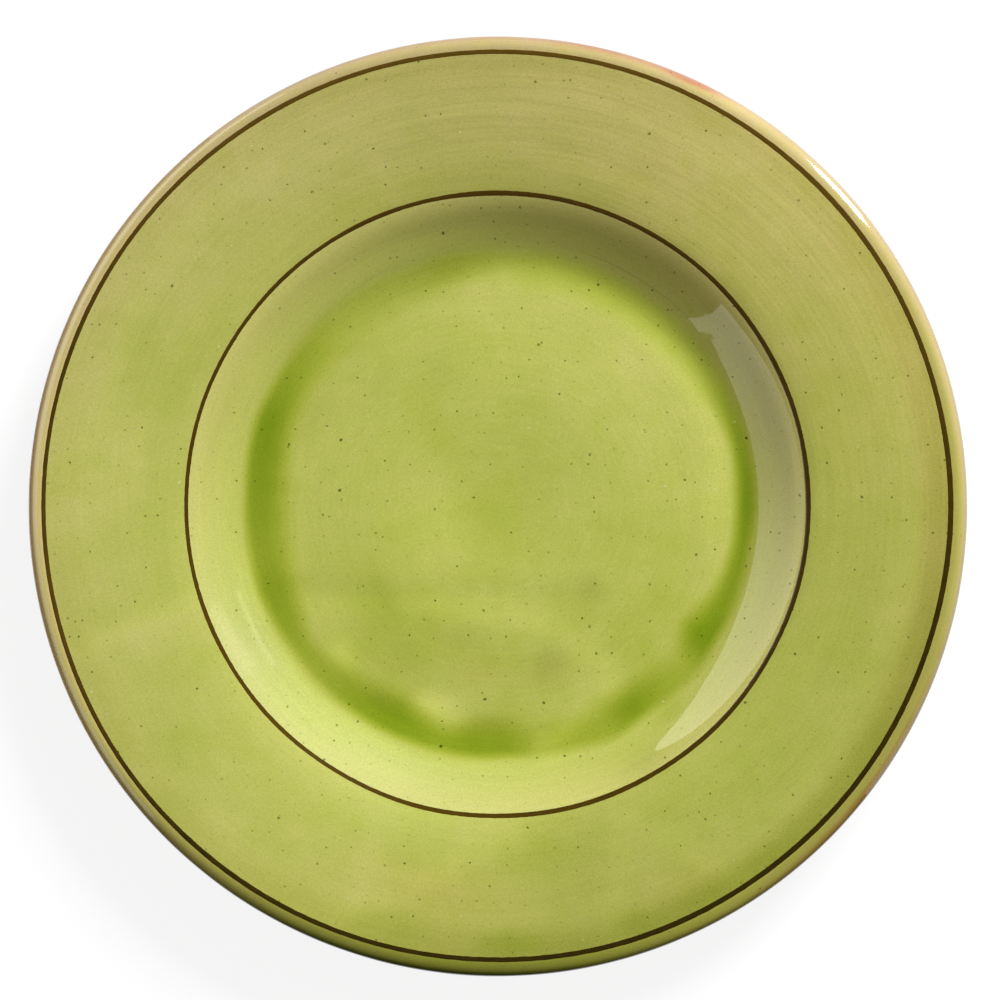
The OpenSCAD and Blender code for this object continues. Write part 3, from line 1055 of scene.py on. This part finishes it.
def make_well():
    places = rows(0, well_line_from, from_middle(WELL_RINGS))
    fields = {"depth": well_depth, "stain": well_stain, "shade": well_shade}
    fields |= {"streak": even(WELL_STREAK), "mark": even(MARK)}
    piece = coat("well", places, face_height(places), SLIP_T, fields, DISC_SKIP, "first")
    dress(piece, "well_glaze", green_glaze("green_glaze_well"))


def make_rim():
    places = rows(well_line_to, rim_line_from, shares(well_line_to, rim_line_from, RIM_RING))
    fields = {"depth": rim_depth, "stain": rim_stain, "shade": rim_shade}
    fields |= {"streak": even(RIM_STREAK), "mark": even(0.0)}
    piece = coat("rim", places, face_height(places), SLIP_T, fields)
    dress(piece, "rim_glaze", green_glaze("green_glaze_rim"))


# How pale each band is made, by azimuth; on the rim band this is painted light, paler to the north and darker
# to the south
WELL_WEAR_AND_LIGHT = [(15, 0.5), (75, 0.8), (165, 0.5), (225, 0.75), (285, 0.45), (345, 0.32)]
RIM_WEAR_AND_LIGHT = [(15, 0.55), (45, 1), (130, 0.9), (165, 0.42), (195, 0.9), (225, 0.15), (300, 0), (345, 0.1)]


def make_line(name, node, edges, wear_and_light, material):
    spread = np.linspace(0, 1, LINE_RINGS)
    places = rows(*edges, spread)
    proud = LINE_RISE * np.sqrt(1 - (2 * spread - 1) ** 2)[:, None]
    fields = {"wear_and_light": even(round_the_plate(wear_and_light, 1))}
    piece = coat(name, places, face_height(places) + proud, SLIP_T, fields)
    dress(piece, node, material)


# Depth of the lip's glaze, how much pink clay shows there, and how dark its south edge is painted as shade,
# in places
LIP_DEPTH = 0.32
LIP_DEPTH_PARTS = [
    (everywhere, [(1.15, 270, 48), (0.1, 205, 30), (0.4, 335, 30)]),
    (step(130.95, 135), [(-0.1, *ROUND)]),
    (step(134.2, 131.2), [(0.45, 8, 24)]),
    # the next part deepens the glaze at the very south edge, as painted shade
    (step(132.8, 134.3), [(1.5, 258, 20)]),
]
LIP_FLUSH_PARTS = [
    (step(132.57, 135), [(0.3, *ROUND), (0.15, 95, 45), (0.25, 190, 50)]),
    (step(131.625, 134.325), [(0.8, 65.5, 3.5), (0.35, 76, 10)]),
    (step(131.895, 132.975), [(0.5, 322, 17)]),
]
LIP_EDGE_SHADE_PARTS = [(step(133.2, 134.2), [(0.35, 262, 18)])]
# The south edge, darkened as painted shade: how dark it is, its share by radius, its azimuth, and how far it
# is whole and goes on
EDGE_PAINTED_SHADE = 0.55
EDGE_SHARE = step(133.92, 134.73)
EDGE_AT = 258
EDGE_WHOLE = 30
EDGE_END = 50
# How light the lip's colour is, by azimuth, and what is added to it in places, as a share: darker by the
# band, and painted light at the west edge
LIP_SHADES = [
    (0, 0.97), (30, 0.93), (60, 1), (75, 0.86), (90, 0.82), (120, 0.83), (150, 1.05), (180, 1.38), (208, 1.5),
    (226, 1.2), (240, 0.98), (255, 0.92), (270, 0.86), (285, 1), (300, 1.06), (330, 0.92), (345, 0.96),
]
BAND_SHADE_PARTS = [(step(133.4, 131.2), [(-0.17, *ROUND)])]
LIP_PAINTED_LIGHT_PARTS = [(step(133.65, 134.325), [(0.45, 187, 26)])]


def lip_shade(radius, x, y):
    """How light the lip's colour is, darker by the band, with painted shade at the south edge and painted
    light at the west edge.
    """
    edge = 1 - smooth(np.abs(turn_from(EDGE_AT)), EDGE_WHOLE, EDGE_END)
    painted_shade = EDGE_PAINTED_SHADE * edge * EDGE_SHARE(radius) + summed(LIP_EDGE_SHADE_PARTS, radius)
    shade = (round_the_plate(LIP_SHADES, 1) + mottled(x, y, *LIP_SHADE_MOTTLE)) * (1 - painted_shade)
    return shade * (1 + summed(BAND_SHADE_PARTS, radius)) * (1 + summed(LIP_PAINTED_LIGHT_PARTS, radius))


def make_lip(material):
    places = rows(rim_line_to, face_end, shares(rim_line_to, face_end, LIP_RING))
    fields = {"depth": field(LIP_DEPTH, LIP_DEPTH_PARTS, LIP_MOTTLE), "shade": lip_shade}
    fields["flush"] = field(0, LIP_FLUSH_PARTS, LIP_MOTTLE)
    piece = coat("lip", places, lip_height(places), SLIP_T, fields)
    dress(piece, "lip_glaze", material)


# Depth of the glaze underneath, how much pink clay shows there and how much more by the lip
UNDER_DEPTH = 0.62
UNDER_FLUSH = 0.25
UNDER_FLUSH_PARTS = [(step(131.625, 135), [(0.5, *ROUND)])]


def under_flush(radius, x, y):
    """How much pink clay shows underneath, with its mottle turned over so that it isn't that of the depth."""
    return UNDER_FLUSH + mottled(y, x, *UNDER_FLUSH_MOTTLE) + summed(UNDER_FLUSH_PARTS, radius)


UNDER_FIELDS = {"depth": field(UNDER_DEPTH, mottle=UNDER_MOTTLE), "flush": under_flush}
UNDER_FIELDS["shade"] = field(1, mottle=UNDER_SHADE_MOTTLE)


def make_back(material):
    places = rows(face_end, back_end, shares(face_end, back_end, UNDER_RING))
    piece = coat("back", places, back_height(places, back_end, -1), 0, UNDER_FIELDS)
    dress(piece, "back_glaze", material)


def make_base(material):
    spread = shares(base_start, walk.end, UNDER_RING)
    spread = np.concatenate([np.linspace(0, spread[2], BEAD_RINGS)[:-1], spread[2:-1]])
    places = rows(base_start, walk.end, spread)
    height = back_height(places, base_start, 1)
    piece = coat("base", places, height, 0, UNDER_FIELDS, middle="last")
    dress(piece, "base_glaze", material)


make_clay()
make_slip()
make_well()
make_rim()
band_material = brown_band()
make_line("well_band", "well_line", (well_line_from, well_line_to), WELL_WEAR_AND_LIGHT, band_material)
make_line("rim_band", "rim_line", (rim_line_from, rim_line_to), RIM_WEAR_AND_LIGHT, band_material)
straw_material = straw_glaze()
make_lip(straw_material)
make_back(straw_material)
make_base(straw_material)


# Floor, light and camera

# Size of the floor, how bright it looks, what share of the light it gives back, and the light all round
FLOOR_SIZE = 60.0
FLOOR_GLOW = 0.87
FLOOR_SHADED = 0.15
WORLD = (0.05, 0.05, 0.053)


def stage_piece(name, points, faces, material):
    """A plain piece of the stage, which isn't part of the object."""
    mesh = bpy.data.meshes.new(name)
    mesh.from_pydata(points, [], faces)
    mesh.materials.append(material)
    piece = placed(name, mesh)
    return piece


def make_floor():
    """A plain pale floor, white to the eye and in reflections, that still takes the plate's shadow."""
    material = bpy.data.materials.new("floor")
    n = Nodes(material)
    n.tree.nodes.clear()
    path = n.node("ShaderNodeLightPath").outputs
    seen = n.math("MAXIMUM", path["Is Camera Ray"], path["Is Glossy Ray"])
    seen = n.math("MAXIMUM", seen, path["Is Transmission Ray"])
    glow = n.node("ShaderNodeEmission", Color=[FLOOR_GLOW] * 3, Strength=seen)
    matt = n.node("ShaderNodeBsdfDiffuse", Color=[FLOOR_SHADED] * 3)
    both = n.node("ShaderNodeAddShader")
    n.set(both.inputs[0], glow.outputs["Emission"])
    n.set(both.inputs[1], matt.outputs["BSDF"])
    n.node("ShaderNodeOutputMaterial", Surface=both.outputs["Shader"])
    half = FLOOR_SIZE / 2
    points = [(-half, -half, 0), (half, -half, 0), (half, half, 0), (-half, half, 0)]
    stage_piece("floor", points, [(0, 1, 2, 3)], material)


# A black card lying south-west of the plate: its inner and outer radius, the azimuths that it spans, its
# level, its points along each side, and its finish
FLAG_FROM = 0.16
FLAG_TO = 1.6
FLAG_SPAN = (128, 322)
FLAG_LEVEL = 1 * MM
FLAG_POINTS = 60
FLAG_BLACK = 0.02
FLAG_ROUGH = 0.9


def make_flag():
    """A black card that shows only in the gloss, and keeps the white floor out of the lip's shaded edge."""
    material = bpy.data.materials.new("flag")
    shader = Nodes(material).tree.nodes["Principled BSDF"]
    shader.inputs["Base Color"].default_value = (FLAG_BLACK, FLAG_BLACK, FLAG_BLACK, 1)
    shader.inputs["Roughness"].default_value = FLAG_ROUGH
    turn = np.radians(np.linspace(*FLAG_SPAN, FLAG_POINTS))
    points = [(r * math.cos(a), r * math.sin(a), FLAG_LEVEL) for r in (FLAG_FROM, FLAG_TO) for a in turn]
    faces = [(i, i + FLAG_POINTS, i + FLAG_POINTS + 1, i + 1) for i in range(FLAG_POINTS - 1)]
    flag = stage_piece("flag", points, faces, material)
    for ray in ("camera", "diffuse", "transmission", "shadow"):
        setattr(flag, "visible_" + ray, False)


def lamp(name, place, size, radiance, colour, gloss, diffuse):
    """A rectangular lamp that faces the plate, by the radiance of its face."""
    data = bpy.data.lights.new(name, "AREA")
    data.shape = "RECTANGLE"
    data.size, data.size_y = size
    data.energy = radiance * math.pi * size[0] * size[1]
    data.color = colour
    made = placed(name, data)
    made.location = place
    made.rotation_euler = (-Vector(place)).to_track_quat("-Z", "Y").to_euler()
    made.visible_camera = False
    made.visible_glossy = gloss
    made.visible_diffuse = diffuse


def aimed(azimuth, elevation, distance):
    """Place at a distance in a direction from the plate."""
    a = math.radians(azimuth)
    e = math.radians(elevation)
    out = distance * math.cos(e)
    return (out * math.cos(a), out * math.sin(a), distance * math.sin(e))


# A bright card standing west of the plate: its place, and its bowed top edge, higher again at the south end
CARD_X = -0.8
CARD_SOUTH = -0.731
CARD_NORTH = 1.5
CARD_TOP = 0.515
CARD_CROWN = 0.05
CARD_BOW = 0.09
CARD_FLARE = 0.43
CARD_FLARE_FROM = -0.6
# Its radiance across from the plate, what it gains a metre northwards, a dimmer stretch, and its colour
CARD_LEVEL = 2.38
CARD_GAIN = 0.88
CARD_DIP = 1.0
CARD_DIP_AT = -0.13
CARD_DIP_W = 0.27
CARD_COLOUR = (1, 0.985, 0.88)


def shade_card(light):
    """Bows a card's top edge, highest at the crown, and makes it brighter towards its north end."""
    n = Nodes(light)
    on_card = n.node("ShaderNodeNewGeometry").outputs["Parametric"]
    parts = n.node("ShaderNodeSeparateXYZ", Vector=on_card).outputs
    y = n.scaled(parts["X"], CARD_SOUTH - CARD_NORTH, CARD_NORTH)
    top = n.scaled(n.square(n.math("SUBTRACT", y, CARD_CROWN)), -CARD_BOW, CARD_TOP)
    top = n.scaled(n.math("MAXIMUM", n.math("SUBTRACT", CARD_FLARE_FROM, y), 0.0), CARD_FLARE, top)
    lit = n.math("LESS_THAN", n.math("MULTIPLY", parts["Y"], CARD_TOP), top)
    off_dip = n.math("DIVIDE", n.math("SUBTRACT", y, CARD_DIP_AT), CARD_DIP_W)
    dip = n.math("EXPONENT", n.scaled(n.square(off_dip), -1.0))
    level = n.scaled(dip, -CARD_DIP, n.scaled(y, CARD_GAIN, CARD_LEVEL))
    n.set(n.tree.nodes["Emission"].inputs["Strength"], n.math("MULTIPLY", level, lit))


WHITE = (1, 1, 1)
CARD_MIDDLE = (CARD_X, (CARD_SOUTH + CARD_NORTH) / 2, CARD_TOP / 2)
CARD_SIZE = (CARD_NORTH - CARD_SOUTH, CARD_TOP)
# All lamps: name, place, size, radiance, colour, and whether they show in the gloss and in diffuse light
LAMPS = [
    ("key", aimed(58, 38.5, 6), (1.75, 1.75), 45.3, WHITE, False, True),
    ("fill", (0, 0, 1.6), (1.8, 1.8), 0.83, (1.06, 0.97, 0.97), False, True),
    ("west_card", CARD_MIDDLE, CARD_SIZE, 1, CARD_COLOUR, True, False),
    ("edge_card", aimed(42.5, 7, 1.2), (0.19, 0.1), 30, WHITE, True, False),
]


def make_light():
    """A soft key from the north-east, a soft fill from above, and two cards that show only in the gloss."""
    for row in LAMPS:
        lamp(*row)
    card = bpy.data.objects["west_card"]
    card.rotation_euler = Vector((1, 0, 0)).to_track_quat("-Z", "Y").to_euler()
    shade_card(card.data)
    world = bpy.data.worlds.new("world")
    bpy.context.scene.world = world
    world.use_nodes = True
    world.node_tree.nodes["Background"].inputs["Color"].default_value = (*WORLD, 1)


# Place of the camera, and its lens and sensor in mm
CAMERA_PLACE = (0.61 * MM, 1.86 * MM, 1.524)
CAMERA_LENS = 187.93
CAMERA_SENSOR = 36.0


def make_camera():
    """Straight down on the plate, as the photo is taken."""
    data = bpy.data.cameras.new("camera")
    data.sensor_width = CAMERA_SENSOR
    data.lens = CAMERA_LENS
    camera = placed("camera", data)
    camera.location = CAMERA_PLACE
    bpy.context.scene.camera = camera


make_floor()
make_flag()
make_light()
make_camera()
bpy.context.scene.view_settings.view_transform = "Standard"
